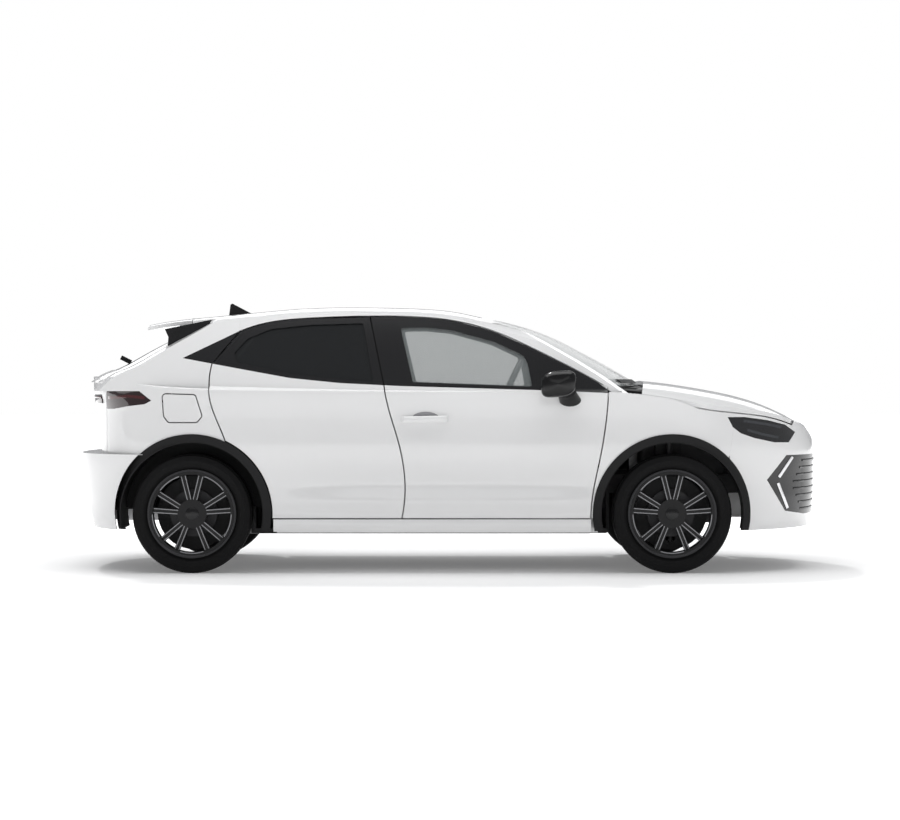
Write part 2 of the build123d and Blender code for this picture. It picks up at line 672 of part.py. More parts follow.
cowl_sheet = sheet_block(
    lambda x, y: bonnet_point(x, y, 27.5), steps(-1000, 1000, 12), steps(-2150, 2150, 36), (0, 0, -1), 12
)

with BuildPart() as cowl_panel:
    add(cowl_sheet & slab((945, 1076), (-690, 690), (800, 1100)))
    add(both(pillar_room), mode=Mode.SUBTRACT)
    add(slab((970, 1100), (-BONNET_ARM_Y - 26, -BONNET_ARM_Y + 26), (800, 1100)), mode=Mode.SUBTRACT)
    add(slab((970, 1100), (BONNET_ARM_Y - 26, BONNET_ARM_Y + 26), (800, 1100)), mode=Mode.SUBTRACT)

with BuildPart() as fuel_flap:
    add(lower_piece(side_polygon(*FUEL_FLAP, corner=16), wall_block(4.0)))
    add(round_bar(2.5, 56, (*FLAP_HINGE, 890), "z"))
    add(slab((-1369, -1361), (-850, -838), (862, 876)))
    add(slab((-1369, -1361), (-850, -838), (904, 918)))

FLOOR_TOP = 231.0
with BuildPart() as floor_pan:
    add(slab((-1050, 868.2), (-POST_INNER_Y + 0.3, POST_INNER_Y - 0.3), (205, FLOOR_TOP)))
    add(slab((-1075, -1050), (-POST_INNER_Y + 0.3, POST_INNER_Y - 0.3), (205, 350)))
    add(slab((-1899.7, -1050), (-470, 470), (330, 350)))
    add(slab((-1899.7, -1790), (-560, 560), (330, 350)))
    add(slab((-530, 868.2), (-110, 110), (FLOOR_TOP, 330)))

bumper_inside = wall_block(SKIN + 0.3, 4.0, BUMPER_TAIL_PROFILE)
panel_inside = wall_block(SKIN + 0.3)
with BuildPart() as rear_panel:
    add(slab((-1915, -1900), (-560, 560), (330, 630)))
    add(slab((-2200, -1905), (-300, 300), (560, 600)) & bumper_inside)

with BuildPart() as front_structure:
    add(slab((868.5, 885), (-POST_INNER_Y + 0.3, POST_INNER_Y - 0.3), (TYRE_SWEEP_TOP, 960)))
    add(slab((868.5, 885), (-545, 545), (205, 960)))
    add(slab((885, 1040), (-POST_INNER_Y + 0.3, POST_INNER_Y - 0.3), (860, 900)))
    add(slab((880, 1885), (-480, -430), (420, 520)))
    add(slab((880, 1885), (430, 480), (420, 520)))
    add(slab((1860, 1885), (-480, 480), (320, 690)))
    add(slab((1140, 1280), (-720, -540), (716, 760)))
    add(slab((1140, 1280), (540, 720), (716, 760)))
    add(slab((1140, 1280), (-560, -440), (520, 760)))
    add(slab((1140, 1280), (440, 560), (520, 760)))
    add(slab((1870, 2200), (-300, 300), (610, 640)) & panel_inside)
    add(slab((1160, 1260), (-1000, -700), (755, 760)) & panel_inside)
    add(slab((1160, 1260), (700, 1000), (755, 760)) & panel_inside)
    for y in (-BONNET_ARM_Y - 18, -BONNET_ARM_Y + 18, BONNET_ARM_Y - 18, BONNET_ARM_Y + 18):
        add(slab((984, 1016), (y - 6, y + 6), (880, 986)))
    for y in (-BONNET_ARM_Y, BONNET_ARM_Y):
        add(round_bar(6.05, 60, (BONNET_HINGE[0], y, BONNET_HINGE[1]), "y"), mode=Mode.SUBTRACT)

with BuildPart() as engine_block:
    add(slab((1050, 1560), (-400, 400), (250, 800)))
    fillet(edges(), 40)
    add(slab((1250, 1350), (-429.7, 429.7), (440, 500)))

seat_profile = [(250, 330), (300, 430), (280, 500), (-110, 455), (-290, 1000), (-330, 1060), (-420,
    1060), (-450, 1010), (-300, 430),
                (-250, 330)]
with BuildPart() as front_seats:
    with BuildSketch(Plane.XZ.offset(110)):
        with BuildLine():
            Polyline(*seat_profile, close=True)
        make_face()
        fillet(vertices(), 18)
    extrude(amount=490)
    add(slab((-180, 180), (-540, -170), (FLOOR_TOP + 0.3, 335)))
    add(slab((-470, -370), (-470, -230), (1050, 1240)))
    mirror(about=Plane.XZ)

with BuildPart() as rear_bench:
    with BuildSketch(Plane.XZ.offset(-465)):
        with BuildLine():
            Polyline((-560, FLOOR_TOP + 0.3), (-540, 480), (-930, 450), (-1110, 980), (-1150, 1040),
                (-1220, 1040), (-1240, 990),
                     (-1140, 350.3), (-1049.7, 350.3), (-1049.7, FLOOR_TOP + 0.3), close=True)
        make_face()
    extrude(amount=930)

# Wheels. Each is drawn about the Y axis, with its outer face to the right.
RIM_RADIUS = 229.0
RIM_WIDTH = 188.0
STUB_RADIUS = 20.0
WHEEL_Y = TRACK / 2

with BuildPart() as tyre_model:
    with BuildSketch(Plane.YZ):
        with BuildLine():
            Polyline((-80, RIM_RADIUS + 0.2), (-81, 241), (-100, 262), (-TYRE_WIDTH / 2, 285), (-92,
                312), (-70, TYRE_RADIUS), (70, TYRE_RADIUS),
                     (92, 312), (TYRE_WIDTH / 2, 285), (100, 262), (81, 241), (80, RIM_RADIUS + 0.2),
                         close=True)
        make_face()
    revolve(axis=Axis.Y)

with BuildPart() as rim_model:
    with BuildSketch(Plane.YZ):
        with BuildLine():
            Polyline((-94, 212), (-94, 240), (-84, 240), (-80, RIM_RADIUS), (80, RIM_RADIUS), (84, 240),
                (94, 240), (94, 222), (-60, 205),
                     close=True)
        make_face()
    revolve(axis=Axis.Y)
    with BuildSketch(Plane.XZ.offset(40)):
        Circle(78)
        with PolarLocations(0, 5, 90):
            Polygon((30, 18), (216, 66), (216, 34), (66, 0), (216, -34), (216, -66), (30, -18), align=None)
    extrude(amount=34)
    with BuildSketch(Plane.XZ.offset(-12)):
        Circle(60)
    extrude(amount=60)
    add(round_bar(STUB_RADIUS + 0.05, 110, (0, 0, 0), "y"), mode=Mode.SUBTRACT)
    add(slab((-1, 1), (-1, 1), (-1, 1)), mode=Mode.SUBTRACT)

with BuildPart() as disc_model:
    with BuildSketch(Plane.XZ.offset(-45)):
        Circle(128)
    extrude(amount=22)
    with BuildSketch(Plane.XZ.offset(-23)):
        Circle(75)
    extrude(amount=10.7)
    add(round_bar(STUB_RADIUS + 0.05, 200, (0, 0, 0), "y"), mode=Mode.SUBTRACT)

CORNERS = {
    "front_right": Location((FRONT_AXLE_X, -WHEEL_Y, TYRE_RADIUS)),
    "front_left": Location((FRONT_AXLE_X, WHEEL_Y, TYRE_RADIUS), (0, 0, 180)),
    "rear_right": Location((REAR_AXLE_X, -WHEEL_Y, TYRE_RADIUS)),
    "rear_left": Location((REAR_AXLE_X, WHEEL_Y, TYRE_RADIUS), (0, 0, 180)),
}
wheels = {}
for corner, place in CORNERS.items():
    for kind, model in (("tyre", tyre_model), ("rim", rim_model), ("brake_disc", disc_model)):
        with BuildPart() as copy:
            add(model.part.moved(place))
        wheels[kind + "_" + corner] = copy

# Front uprights turn about a steering axis that leans inwards towards its top.
STEER_LOW = (FRONT_AXLE_X, -690.0, 180.0)
STEER_HIGH = (FRONT_AXLE_X, -625.0, 500.0)
steer_lean = math.degrees(math.atan2(STEER_HIGH[1] - STEER_LOW[1], STEER_HIGH[2] - STEER_LOW[2]))


def along_steering(radius, length, place):
    """A round bar along the right-hand steering axis."""
    return Pos(*place) * Rot(-steer_lean, 0, 0) * Cylinder(radius, length, mode=Mode.PRIVATE)


with BuildPart() as knuckle_front_right:
    add(along_steering(16, 260, (FRONT_AXLE_X, -657.5, 340)))
    add(along_steering(9, 372, (FRONT_AXLE_X, -657.5, 340)))
    add(round_bar(STUB_RADIUS, 92, (FRONT_AXLE_X, -706, TYRE_RADIUS), "y"))

with BuildPart() as knuckle_front_left:
    add(knuckle_front_right.part.mirror(Plane.XZ))

front_strut = along_steering(17, 36, STEER_HIGH) + round_bar(16, 214, (FRONT_AXLE_X, -606, 608.5), "z")
front_strut += slab((FRONT_AXLE_X - 12, FRONT_AXLE_X + 12), (-640, -600), (495, 525))
front_strut -= along_steering(9.05, 80, STEER_HIGH)
front_arm = along_steering(14.5, 24, STEER_LOW) + slab((FRONT_AXLE_X - 25, FRONT_AXLE_X + 25), (-688,
    -330), (170, 190))
front_arm -= along_steering(9.05, 80, STEER_LOW)

with BuildPart() as front_suspension:
    add(front_arm)
    add(front_strut)
    mirror(about=Plane.XZ)
    add(slab((1080, 1330), (-340, 340), (165, 215)))
    add(slab((1080, 1330), (-480, -430), (190, 419.7)))
    add(slab((1080, 1330), (430, 480), (190, 419.7)))
    add(slab((1080, 1330), (-480, 480), (190, 215)))

with BuildPart() as rear_axle:
    add(slab((-1230, -1160), (-600, 600), (255, 325)))
    for way in (-1, 1):
        add(slab((-1440, -1160), (way * 600 - 25, way * 600 + 25), (270, 340)))
        add(round_bar(STUB_RADIUS, 136, (REAR_AXLE_X, way * 668, TYRE_RADIUS), "y"))
        add(round_bar(20, 360, (-1430, way * 560, 516), "z"))
        add(slab((-1450, -1410), (way * 580 - 40, way * 580 + 40), (300, 340)))
        add(slab((-1165, -1075.3), (way * 540 - 20, way * 540 + 20), (270, 320)))

with BuildPart() as exhaust:
    add(slab((-1860, -1560), (100, 420), (240, 329.7)))
    add(round_bar(25, 2400, (-380, 250, 179.7), "x"))
    add(slab((-1600, -1550), (220, 280), (160, 260)))

# The steering wheel, on a column that leans back towards the driver.
STEERING_HUB = (345.0, 370.0, 985.0)
COLUMN_TILT = 25.0
column = Location(STEERING_HUB, (0, 90 + COLUMN_TILT, 0))

with BuildPart() as steering_wheel:
    add(Torus(178, 15, mode=Mode.PRIVATE).moved(column))
    add(Cylinder(62, 34, mode=Mode.PRIVATE).moved(column))
    add((Box(40, 330, 16, mode=Mode.PRIVATE)).moved(column))
    add(Cylinder(12.05, 80, mode=Mode.PRIVATE).moved(column), mode=Mode.SUBTRACT)

with BuildPart() as dashboard:
    with BuildSketch(Plane.XZ.offset(-612)):
        with BuildLine():
            Polyline((470, 860), (500, 950), (700, 985), (868.2, 985), (868.2, 640), (640, 640), (580,
                800), close=True)
        make_face()
    extrude(amount=1224)
    fillet(edges().filter_by(Axis.Y).sort_by(Axis.X)[0:3], 25)
    add((Pos(0, 0, 30) * Cylinder(12, 100, mode=Mode.PRIVATE)).moved(column))
    add((Pos(0, 0, 150) * Cylinder(30, 240, mode=Mode.PRIVATE)).moved(column))

with BuildPart() as antenna_fin:
    with BuildSketch(Plane.XZ.offset(-5)):
        with BuildLine():
            Polyline((-1080, 1400), (-1245, 1400), (-1236, 1470), (-1225, 1476), close=True)
        make_face()
    extrude(amount=10)
    add(sheet_block(lambda x, y: (x, y, roof_point(x, y)[2] + 0.3), steps(-900, 900, 12), steps(-2150,
        1300, 24), (0, 0, -1), 1000),
        mode=Mode.SUBTRACT)

near_walls = wall_block(-0.3)
with BuildPart() as mirror_right:
    with BuildSketch(Plane.XZ.offset(862)):
        with BuildLine():
            Polyline((484, 1090), (484, 975), (500, 950), (640, 950), (684, 985), (676, 1040), (640,
                1090), (540, 1101), close=True)
        make_face()
    extrude(amount=150)
    fillet(edges().filter_by(Axis.Y), 10)
    add(slab((600, 715), (-900, -780), (885, 970)))
    add(near_walls, mode=Mode.SUBTRACT)

with BuildPart() as mirror_left:
    add(mirror_right.part.mirror(Plane.XZ))

wiper_arm = sheet_block(
    lambda y, z: (screen_point(y, z)[0] + 14, y, z), steps(880, 1520, 16), steps(-900, 900, 8), (-1, 0,
        0), 12
)
with BuildPart() as wipers:
    add(wiper_arm & slab((900, 1100), (-620, 40), (1026, 1046)))
    add(wiper_arm & slab((900, 1100), (80, 640), (1026, 1046)))

with BuildPart() as rear_wiper:
    add(Pos(-1830, 0, 1156) * Rot(0, 27, 0) * Box(60, 44, 24, mode=Mode.PRIVATE))

with BuildPart() as spoiler_blades:
    add(side_polygon((-1540, 1320), (-1278, 1372), (-1327, 1309), (-1526, 1195), (-1520,
        1276)) & slab((-1600, -1200), (-580, -560), (0, 2000)))
    mirror(about=Plane.XZ)

NODES = {
    "floor_pan": floor_pan, "side_frame_right": side_frame_right, "side_frame_left": side_frame_left,
    "roof_panel": roof_panel, "front_structure": front_structure, "rear_panel": rear_panel,
        "front_fenders": front_fenders,
    "quarter_panels": quarter_panels, "front_bumper": front_bumper, "rear_bumper": rear_bumper,
        "front_grille": front_grille,
    "headlamps": headlamps, "tail_lamps": tail_lamps, "windscreen": windscreen, "arch_trims": arch_trims,
    "wheel_liners": wheel_liners, "sill_covers": sill_covers, "cowl_panel": cowl_panel, "wipers": wipers,
    "antenna_fin": antenna_fin, "door_hinges": door_hinges, "dashboard": dashboard,
        "front_seats": front_seats,
    "rear_bench": rear_bench, "engine_block": engine_block, "exhaust": exhaust,
        "front_suspension": front_suspension,
    "rear_axle": rear_axle, "bonnet": bonnet, "tailgate": tailgate, "tailgate_glass": tailgate_glass,
    "rear_wiper": rear_wiper, "fuel_flap": fuel_flap, "steering_wheel": steering_wheel,
    "door_front_right": door_front_right, "door_front_left": door_front_left,
        "door_rear_right": door_rear_right,
    "door_rear_left": door_rear_left, "glass_front_right": glass_front_right,
        "glass_front_left": glass_front_left,
    "glass_rear_right": glass_rear_right, "glass_rear_left": glass_rear_left, "mirror_right": mirror_right,
    "mirror_left": mirror_left, "knuckle_front_right": knuckle_front_right,
        "knuckle_front_left": knuckle_front_left,
    **wheels,
}
for node, piece in NODES.items():
    piece.part.label = node
    export_step(piece.part, "parts/" + node + ".step")
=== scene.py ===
"""Studio picture of a white five-door hatchback, dressed over its CAD frame."""

import json
import math

import bmesh
import bpy
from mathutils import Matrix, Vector
from mathutils.bvhtree import BVHTree


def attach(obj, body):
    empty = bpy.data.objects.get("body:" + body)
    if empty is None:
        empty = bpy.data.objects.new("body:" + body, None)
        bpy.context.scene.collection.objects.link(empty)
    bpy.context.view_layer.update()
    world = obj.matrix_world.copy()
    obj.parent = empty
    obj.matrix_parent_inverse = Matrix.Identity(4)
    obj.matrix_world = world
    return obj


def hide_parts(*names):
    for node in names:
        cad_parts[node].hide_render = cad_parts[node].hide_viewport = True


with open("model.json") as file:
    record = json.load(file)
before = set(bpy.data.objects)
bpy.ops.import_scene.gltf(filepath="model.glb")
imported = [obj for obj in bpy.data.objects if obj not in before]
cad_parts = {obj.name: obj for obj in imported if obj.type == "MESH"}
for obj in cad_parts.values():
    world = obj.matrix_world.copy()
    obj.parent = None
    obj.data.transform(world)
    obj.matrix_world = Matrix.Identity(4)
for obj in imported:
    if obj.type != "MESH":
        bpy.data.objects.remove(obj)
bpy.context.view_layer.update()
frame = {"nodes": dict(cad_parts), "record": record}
nodes = frame["nodes"]
scene = bpy.context.scene


def surface_group():
    """A shader group that varies a base colour and a roughness with fine and broad noise."""
    group = bpy.data.node_groups.new("Surface variation", "ShaderNodeTree")
    face = group.interface
    face.new_socket("Color", in_out="INPUT", socket_type="NodeSocketColor")
    face.new_socket("Roughness", in_out="INPUT", socket_type="NodeSocketFloat")
    face.new_socket("Scale", in_out="INPUT", socket_type="NodeSocketFloat")
    face.new_socket("Strength", in_out="INPUT", socket_type="NodeSocketFloat")
    face.new_socket("Color", in_out="OUTPUT", socket_type="NodeSocketColor")
    face.new_socket("Roughness", in_out="OUTPUT", socket_type="NodeSocketFloat")
    made = group.nodes
    link = group.links.new
    inputs = made.new("NodeGroupInput")
    outputs = made.new("NodeGroupOutput")
    place = made.new("ShaderNodeTexCoord")
    noise = made.new("ShaderNodeTexNoise")
    noise.inputs["Detail"].default_value = 4.0
    link(place.outputs["Object"], noise.inputs["Vector"])
    link(inputs.outputs["Scale"], noise.inputs["Scale"])
    centred = made.new("ShaderNodeMath")
    centred.operation = "SUBTRACT"
    centred.inputs[1].default_value = 0.5
    link(noise.outputs["Fac"], centred.inputs[0])
    amount = made.new("ShaderNodeMath")
    amount.operation = "MULTIPLY"
    link(centred.outputs[0], amount.inputs[0])
    link(inputs.outputs["Strength"], amount.inputs[1])
    shade = made.new("ShaderNodeMath")
    shade.operation = "ADD"
    shade.inputs[1].default_value = 1.0
    link(amount.outputs[0], shade.inputs[0])
    tint = made.new("ShaderNodeVectorMath")
    tint.operation = "SCALE"
    link(inputs.outputs["Color"], tint.inputs[0])
    link(shade.outputs[0], tint.inputs["Scale"])
    link(tint.outputs[0], outputs.inputs["Color"])
    rough = made.new("ShaderNodeMath")
    rough.operation = "MULTIPLY"
    link(inputs.outputs["Roughness"], rough.inputs[0])
    link(shade.outputs[0], rough.inputs[1])
    link(rough.outputs[0], outputs.inputs["Roughness"])
    return group


VARIATION = surface_group()


def material(name, color, rough, scale=40.0, strength=0.12, metallic=0.0, coat=0.0, alpha=1.0,
             emission=None, specular=0.5):
    """A procedural material whose colour and roughness vary slightly over the surface."""
    made = bpy.data.materials.new(name)
    made.use_nodes = True
    tree = made.node_tree
    shader = tree.nodes["Principled BSDF"]
    group = tree.nodes.new("ShaderNodeGroup")
    group.node_tree = VARIATION
    group.inputs["Color"].default_value = (*color, 1.0)
    group.inputs["Roughness"].default_value = rough
    group.inputs["Scale"].default_value = scale
    group.inputs["Strength"].default_value = strength
    tree.links.new(group.outputs["Color"], shader.inputs["Base Color"])
    tree.links.new(group.outputs["Roughness"], shader.inputs["Roughness"])
    shader.inputs["Metallic"].default_value = metallic
    shader.inputs["Coat Weight"].default_value = coat
    shader.inputs["Coat Roughness"].default_value = 0.03
    shader.inputs["Alpha"].default_value = alpha
    shader.inputs["Specular IOR Level"].default_value = specular
    if emission:
        shader.inputs["Emission Color"].default_value = (*emission, 1.0)
        shader.inputs["Emission Strength"].default_value = 1.0
    return made


M = {
    "body_white": material("Body white", (0.80, 0.80, 0.80), 0.28, 3.0, 0.03, coat=0.9),
    "gloss_black": material("Gloss black", (0.005, 0.005, 0.0055), 0.2, 20.0, 0.2, coat=0.1, specular=0.3),
    "trim_black": material("Trim black", (0.010, 0.010, 0.0105), 0.6, 400.0, 0.5, specular=0.25),
    "underbody": material("Underbody", (0.02, 0.02, 0.021), 0.7, 60.0, 0.4),
    "glass_clear": material("Clear glass", (0.35, 0.38, 0.38), 0.03, 5.0, 0.05, alpha=0.32),
    "glass_dark": material("Dark glass", (0.012, 0.013, 0.014), 0.03, 5.0, 0.1, alpha=0.93),
    "lamp": material("Lamp", (0.012, 0.012, 0.013), 0.06, 30.0, 0.2, coat=1.0),
    "lamp_red": material("Tail lamp", (0.014, 0.002, 0.003), 0.06, 30.0, 0.2, coat=1.0),
    "cabin": material("Cabin plastic", (0.035, 0.035, 0.037), 0.6, 200.0, 0.4),
    "fabric": material("Woven cloth", (0.03, 0.03, 0.032), 0.9, 500.0, 0.6),
    "steel": material("Steel", (0.45, 0.45, 0.46), 0.3, 80.0, 0.2, metallic=1.0),
    "cast": material("Cast metal", (0.05, 0.05, 0.052), 0.55, 90.0, 0.4, metallic=0.5),
    "alloy": material("Alloy black", (0.004, 0.004, 0.0045), 0.3, 30.0, 0.2, coat=0.05, specular=0.25),
    "bright": material("Bright trim", (0.6, 0.6, 0.61), 0.2, 60.0, 0.1, metallic=1.0),
    "machined": material("Machined alloy", (0.26, 0.26, 0.27), 0.35, 80.0, 0.2, metallic=1.0),
    "disc": material("Brake disc", (0.05, 0.05, 0.052), 0.5, 60.0, 0.3, metallic=0.7),
    "lip": material("Rim lip", (0.03, 0.03, 0.032), 0.25, 60.0, 0.2, metallic=0.8),
    "lamp_inner": material("Lamp reflector", (0.16, 0.165, 0.175), 0.15, 40.0, 0.2, metallic=0.9),
    "tail_bar": material("Tail light bar", (0.06, 0.004, 0.006), 0.1, 40.0, 0.2, coat=1.0),
    # Grey for the disc behind the door handles: painted shade in the recess, which is really body white.
    "shade": material("Painted shade grey", (0.30, 0.30, 0.31), 0.5, 3.0, 0.05),
    "tyre": material("Tyre", (0.006, 0.006, 0.0063), 0.8, 150.0, 0.4, specular=0.2),
}
slot_of = {s["node"]: s["material_slot"] for s in frame["record"]["subparts"]}


def line_mask(tree, place, points, along, across, lows, highs, above):
    """A 0-1 mask that is on where one coordinate lies above (or below) a line drawn over another."""
    made = tree.nodes
    link = tree.links.new
    spread = made.new("ShaderNodeMapRange")
    spread.inputs["From Min"].default_value = lows[0]
    spread.inputs["From Max"].default_value = highs[0]
    link(place.outputs[along], spread.inputs["Value"])
    line = made.new("ShaderNodeFloatCurve")
    curve = line.mapping.curves[0]
    scaled = [((p - lows[0]) / (highs[0] - lows[0]), (q - lows[1]) / (highs[1] - lows[1])) for p, q in points]
    curve.points[0].location = scaled[0]
    curve.points[1].location = scaled[-1]
    for spot in scaled[1:-1]:
        curve.points.new(*spot)
    for point in curve.points:
        point.handle_type = "VECTOR"
    line.mapping.update()
    link(spread.outputs[0], line.inputs["Value"])
    height = made.new("ShaderNodeMapRange")
    height.inputs["From Min"].default_value = lows[1]
    height.inputs["From Max"].default_value = highs[1]
    height.clamp = False
    link(place.outputs[across], height.inputs["Value"])
    test = made.new("ShaderNodeMath")
    test.operation = "GREATER_THAN" if above else "LESS_THAN"
    link(height.outputs[0], test.inputs[0])
    link(line.outputs[0], test.inputs[1])
    return test.outputs[0]


def two_tone(name, areas):
    """Body white that turns gloss black inside areas bounded by lines in the side view."""
    made = M["body_white"].copy()
    made.name = name
    tree = made.node_tree
    link = tree.links.new
    shader = tree.nodes["Principled BSDF"]
    where = tree.nodes.new("ShaderNodeTexCoord")
    place = tree.nodes.new("ShaderNodeSeparateXYZ")
    link(where.outputs["Object"], place.inputs[0])
    masks = []
    for area in areas:
        both = None
        for line in area:
            one = line_mask(tree, place, *line)
            if both is None:
                both = one
            else:
                joined = tree.nodes.new("ShaderNodeMath")
                joined.operation = "MULTIPLY"
                link(both, joined.inputs[0])
                link(one, joined.inputs[1])
                both = joined.outputs[0]
        masks.append(both)
    mask = masks[0]
    for other in masks[1:]:
        joined = tree.nodes.new("ShaderNodeMath")
        joined.operation = "MAXIMUM"
        link(mask, joined.inputs[0])
        link(other, joined.inputs[1])
        mask = joined.outputs[0]
    colour = tree.nodes.new("ShaderNodeMix")
    colour.data_type = "RGBA"
    source = shader.inputs["Base Color"].links[0].from_socket
    link(mask, colour.inputs["Factor"])
    link(source, colour.inputs["A"])
    colour.inputs["B"].default_value = (0.008, 0.008, 0.009, 1.0)
    link(colour.outputs["Result"], shader.inputs["Base Color"])
    rough = tree.nodes.new("ShaderNodeMix")
    source = shader.inputs["Roughness"].links[0].from_socket
    link(mask, rough.inputs["Factor"])
    link(source, rough.inputs["A"])
    rough.inputs["B"].default_value = 0.22
    link(rough.outputs["Result"], shader.inputs["Roughness"])
    coat = tree.nodes.new("ShaderNodeMix")
    link(mask, coat.inputs["Factor"])
    coat.inputs["A"].default_value = 0.9
    coat.inputs["B"].default_value = 0.15
    link(coat.outputs["Result"], shader.inputs["Coat Weight"])
    return made


BELT = [(-1.50, 1.185), (-1.44, 1.161), (-1.124, 1.102), (-0.854, 1.053), (-0.583, 1.026), (-0.259, 1.010),
        (0.497, 0.988), (0.876, 0.972), (1.0, 0.968)]
WINDOW_TOP = [(-1.50, 1.13), (-1.44, 1.163), (-1.272, 1.244), (-1.136, 1.310), (-0.972, 1.359),
              (-0.753, 1.381), (-0.480, 1.392), (-0.262, 1.392), (0.011, 1.370), (0.229, 1.315),
              (0.502, 1.195), (0.775, 1.053), (0.884, 0.977), (1.0, 0.93)]
LOWS, HIGHS = (-1.5, 0.9), (1.0, 1.45)
windows = [(BELT, "X", "Z", LOWS, HIGHS, True), (WINDOW_TOP, "X", "Z", LOWS, HIGHS, False)]
MOUTH_EDGE = [(0.306, 1.962), (0.328, 1.842), (0.500, 1.733), (0.633, 1.848)]
MOUTH_TOP = [(1.6, 0.633), (2.1, 0.633)]
MOUTH_LOW = [(1.6, 0.306), (2.1, 0.306)]
mouth = [
    (MOUTH_EDGE, "Z", "X", (0.306, 1.6), (0.633, 2.1), True),
    (MOUTH_TOP, "X", "Z", (1.6, 0.2), (2.1, 0.8), False),
    (MOUTH_LOW, "X", "Z", (1.6, 0.2), (2.1, 0.8), True),
]
M["body_windows"] = two_tone("Body white with black window frames", [windows])
M["body_nose"] = two_tone("Body white with black grille surround", [mouth])
for name, obj in nodes.items():
    slot = slot_of[name]
    if slot == "body_white" and name.startswith(("door_", "side_frame", "quarter")):
        slot = "body_windows"
    if name.startswith("brake_disc"):
        slot = "disc"
    if name == "front_bumper":
        slot = "body_nose"
    obj.data.materials.clear()
    obj.data.materials.append(M[slot])
    obj.data.polygons.foreach_set("use_smooth", [True] * len(obj.data.polygons))
    obj.data.set_sharp_from_angle(angle=math.radians(28))


def skin_tree(*names):
    """Everything in some CAD nodes as one tree that rays can be cast at."""
    spots, faces = [], []
    for name in names:
        obj = nodes[name]
        start = len(spots)
        spots += [obj.matrix_world @ v.co for v in obj.data.vertices]
        faces += [[start + i for i in p.vertices] for p in obj.data.polygons]
    return BVHTree.FromPolygons(spots, faces)


def skin_y(tree, x, z):
    """How far out on the right-hand side a skin lies at one place in the side view."""
    hit = tree.ray_cast(Vector((x, -3.0, z)), Vector((0.0, 1.0, 0.0)))[0]
    return hit.y if hit else None


def piece(name, spots, faces, mat, body, smooth=True):
    """A finished piece made from points and faces, riding with one body."""
    name = name.replace(" ", "_")
    mesh = bpy.data.meshes.new(name)
    mesh.from_pydata([tuple(s) for s in spots], [], faces)
    mesh.update()
    work = bmesh.new()
    work.from_mesh(mesh)
    bmesh.ops.recalc_face_normals(work, faces=work.faces)
    work.to_mesh(mesh)
    work.free()
    mesh.materials.append(M[mat])
    if smooth:
        mesh.polygons.foreach_set("use_smooth", [True] * len(mesh.polygons))
        mesh.set_sharp_from_angle(angle=math.radians(35))
    obj = bpy.data.objects.new(name, mesh)
    scene.collection.objects.link(obj)
    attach(obj, body)
    return obj


def tube(rings):
    """Points and faces of a closed skin over a row of equal rings."""
    count = len(rings[0])
    spots = [s for ring in rings for s in ring]
    faces = []
    for i in range(len(rings) - 1):
        for k in range(count):
            n = (k + 1) % count
            faces.append((i * count + k, i * count + n, (i + 1) * count + n, (i + 1) * count + k))
    faces.append(tuple(range(count - 1, -1, -1)))
    last = (len(rings) - 1) * count
    faces.append(tuple(range(last, last + count)))
    return spots, faces


def pair(name, spots, faces, mat, body_right, body_left, smooth=True):
    """A right-hand piece and its mirror image on the left."""
    piece(name + " right", spots, faces, mat, body_right, smooth)
    flipped = [(s[0], -s[1], s[2]) for s in spots]
    piece(name + " left", flipped, [tuple(reversed(f)) for f in faces], mat, body_left, smooth)


def strip(tree, points, width, lift, rise, count=8):
    """A bar that follows the skin along a line in the side view."""
    path = []
    for i in range(len(points) - 1):
        for k in range(count):
            t = k / count
            path.append([p + (q - p) * t for p, q in zip(points[i], points[i + 1])])
    path.append(list(points[-1]))
    rings = []
    for i, (x, z) in enumerate(path):
        before, after = path[max(i - 1, 0)], path[min(i + 1, len(path) - 1)]
        run = Vector((after[0] - before[0], after[1] - before[1])).normalized()
        side = Vector((-run.y, run.x)) * width / 2
        ring = []
        for turn, out in ((-1, -rise), (-1, lift), (0, lift * 1.3), (1, lift), (1, -rise)):
            px, pz = x + side.x * turn, z + side.y * turn
            y = skin_y(tree, px, pz)
            y = skin_y(tree, x, z) if y is None else y
            ring.append(Vector((px, (y if y is not None else -0.7) - out, pz)))
        rings.append(ring)
    return tube(rings)


doors = skin_tree("door_front_right", "door_rear_right")
rings = []
for i in range(25):
    t = i / 24
    x = -0.252 + 0.252 * t
    y = skin_y(doors, x, 0.828)
    out = 0.026 * min(1.0, 1.25 * math.sin(math.pi * t) ** 0.5) if 0 < i < 24 else -0.004
    rings.append([
        Vector((x, y - out + 0.011 * math.cos(a), 0.829 + 0.018 * math.sin(a) + 0.006 * t))
        for a in [math.tau * k / 14 for k in range(14)]
    ])
pair("Door handle", *tube(rings), "body_white", "door_front_right", "door_front_left")
# A grey disc on the door skin behind each handle: painted shade in the handle recess.
cup = []
for r in (1.0, 0.8, 0.0):
    cup.append([Vector((-0.12 + 0.075 * r * math.cos(a), skin_y(doors, -0.12, 0.83) - 0.0006 * (2 - r),
                        0.836 + 0.036 * r * math.sin(a))) for a in [math.tau * k / 20 for k in range(20)]])
pair("Handle recess painted shade", *tube(cup), "shade", "door_front_right", "door_front_left")

nose = skin_tree("front_bumper", "front_grille")
for label, line in (("upper", [(1.886, 0.622), (1.804, 0.513)]), ("lower", [(1.799, 0.481), (1.858, 0.342)])):
    pair("Grille edge " + label, *strip(nose, line, 0.016, 0.004, 0.004), "bright", "body", "body")

def wheel_spot(x, y, z, axle, side):
    """A place on a wheel, given with its outer face to the right, at one corner of the car."""
    way = -1.0 if side == "left" else 1.0
    return Vector((axle + way * x, way * (y - 0.75), 0.321 + z))


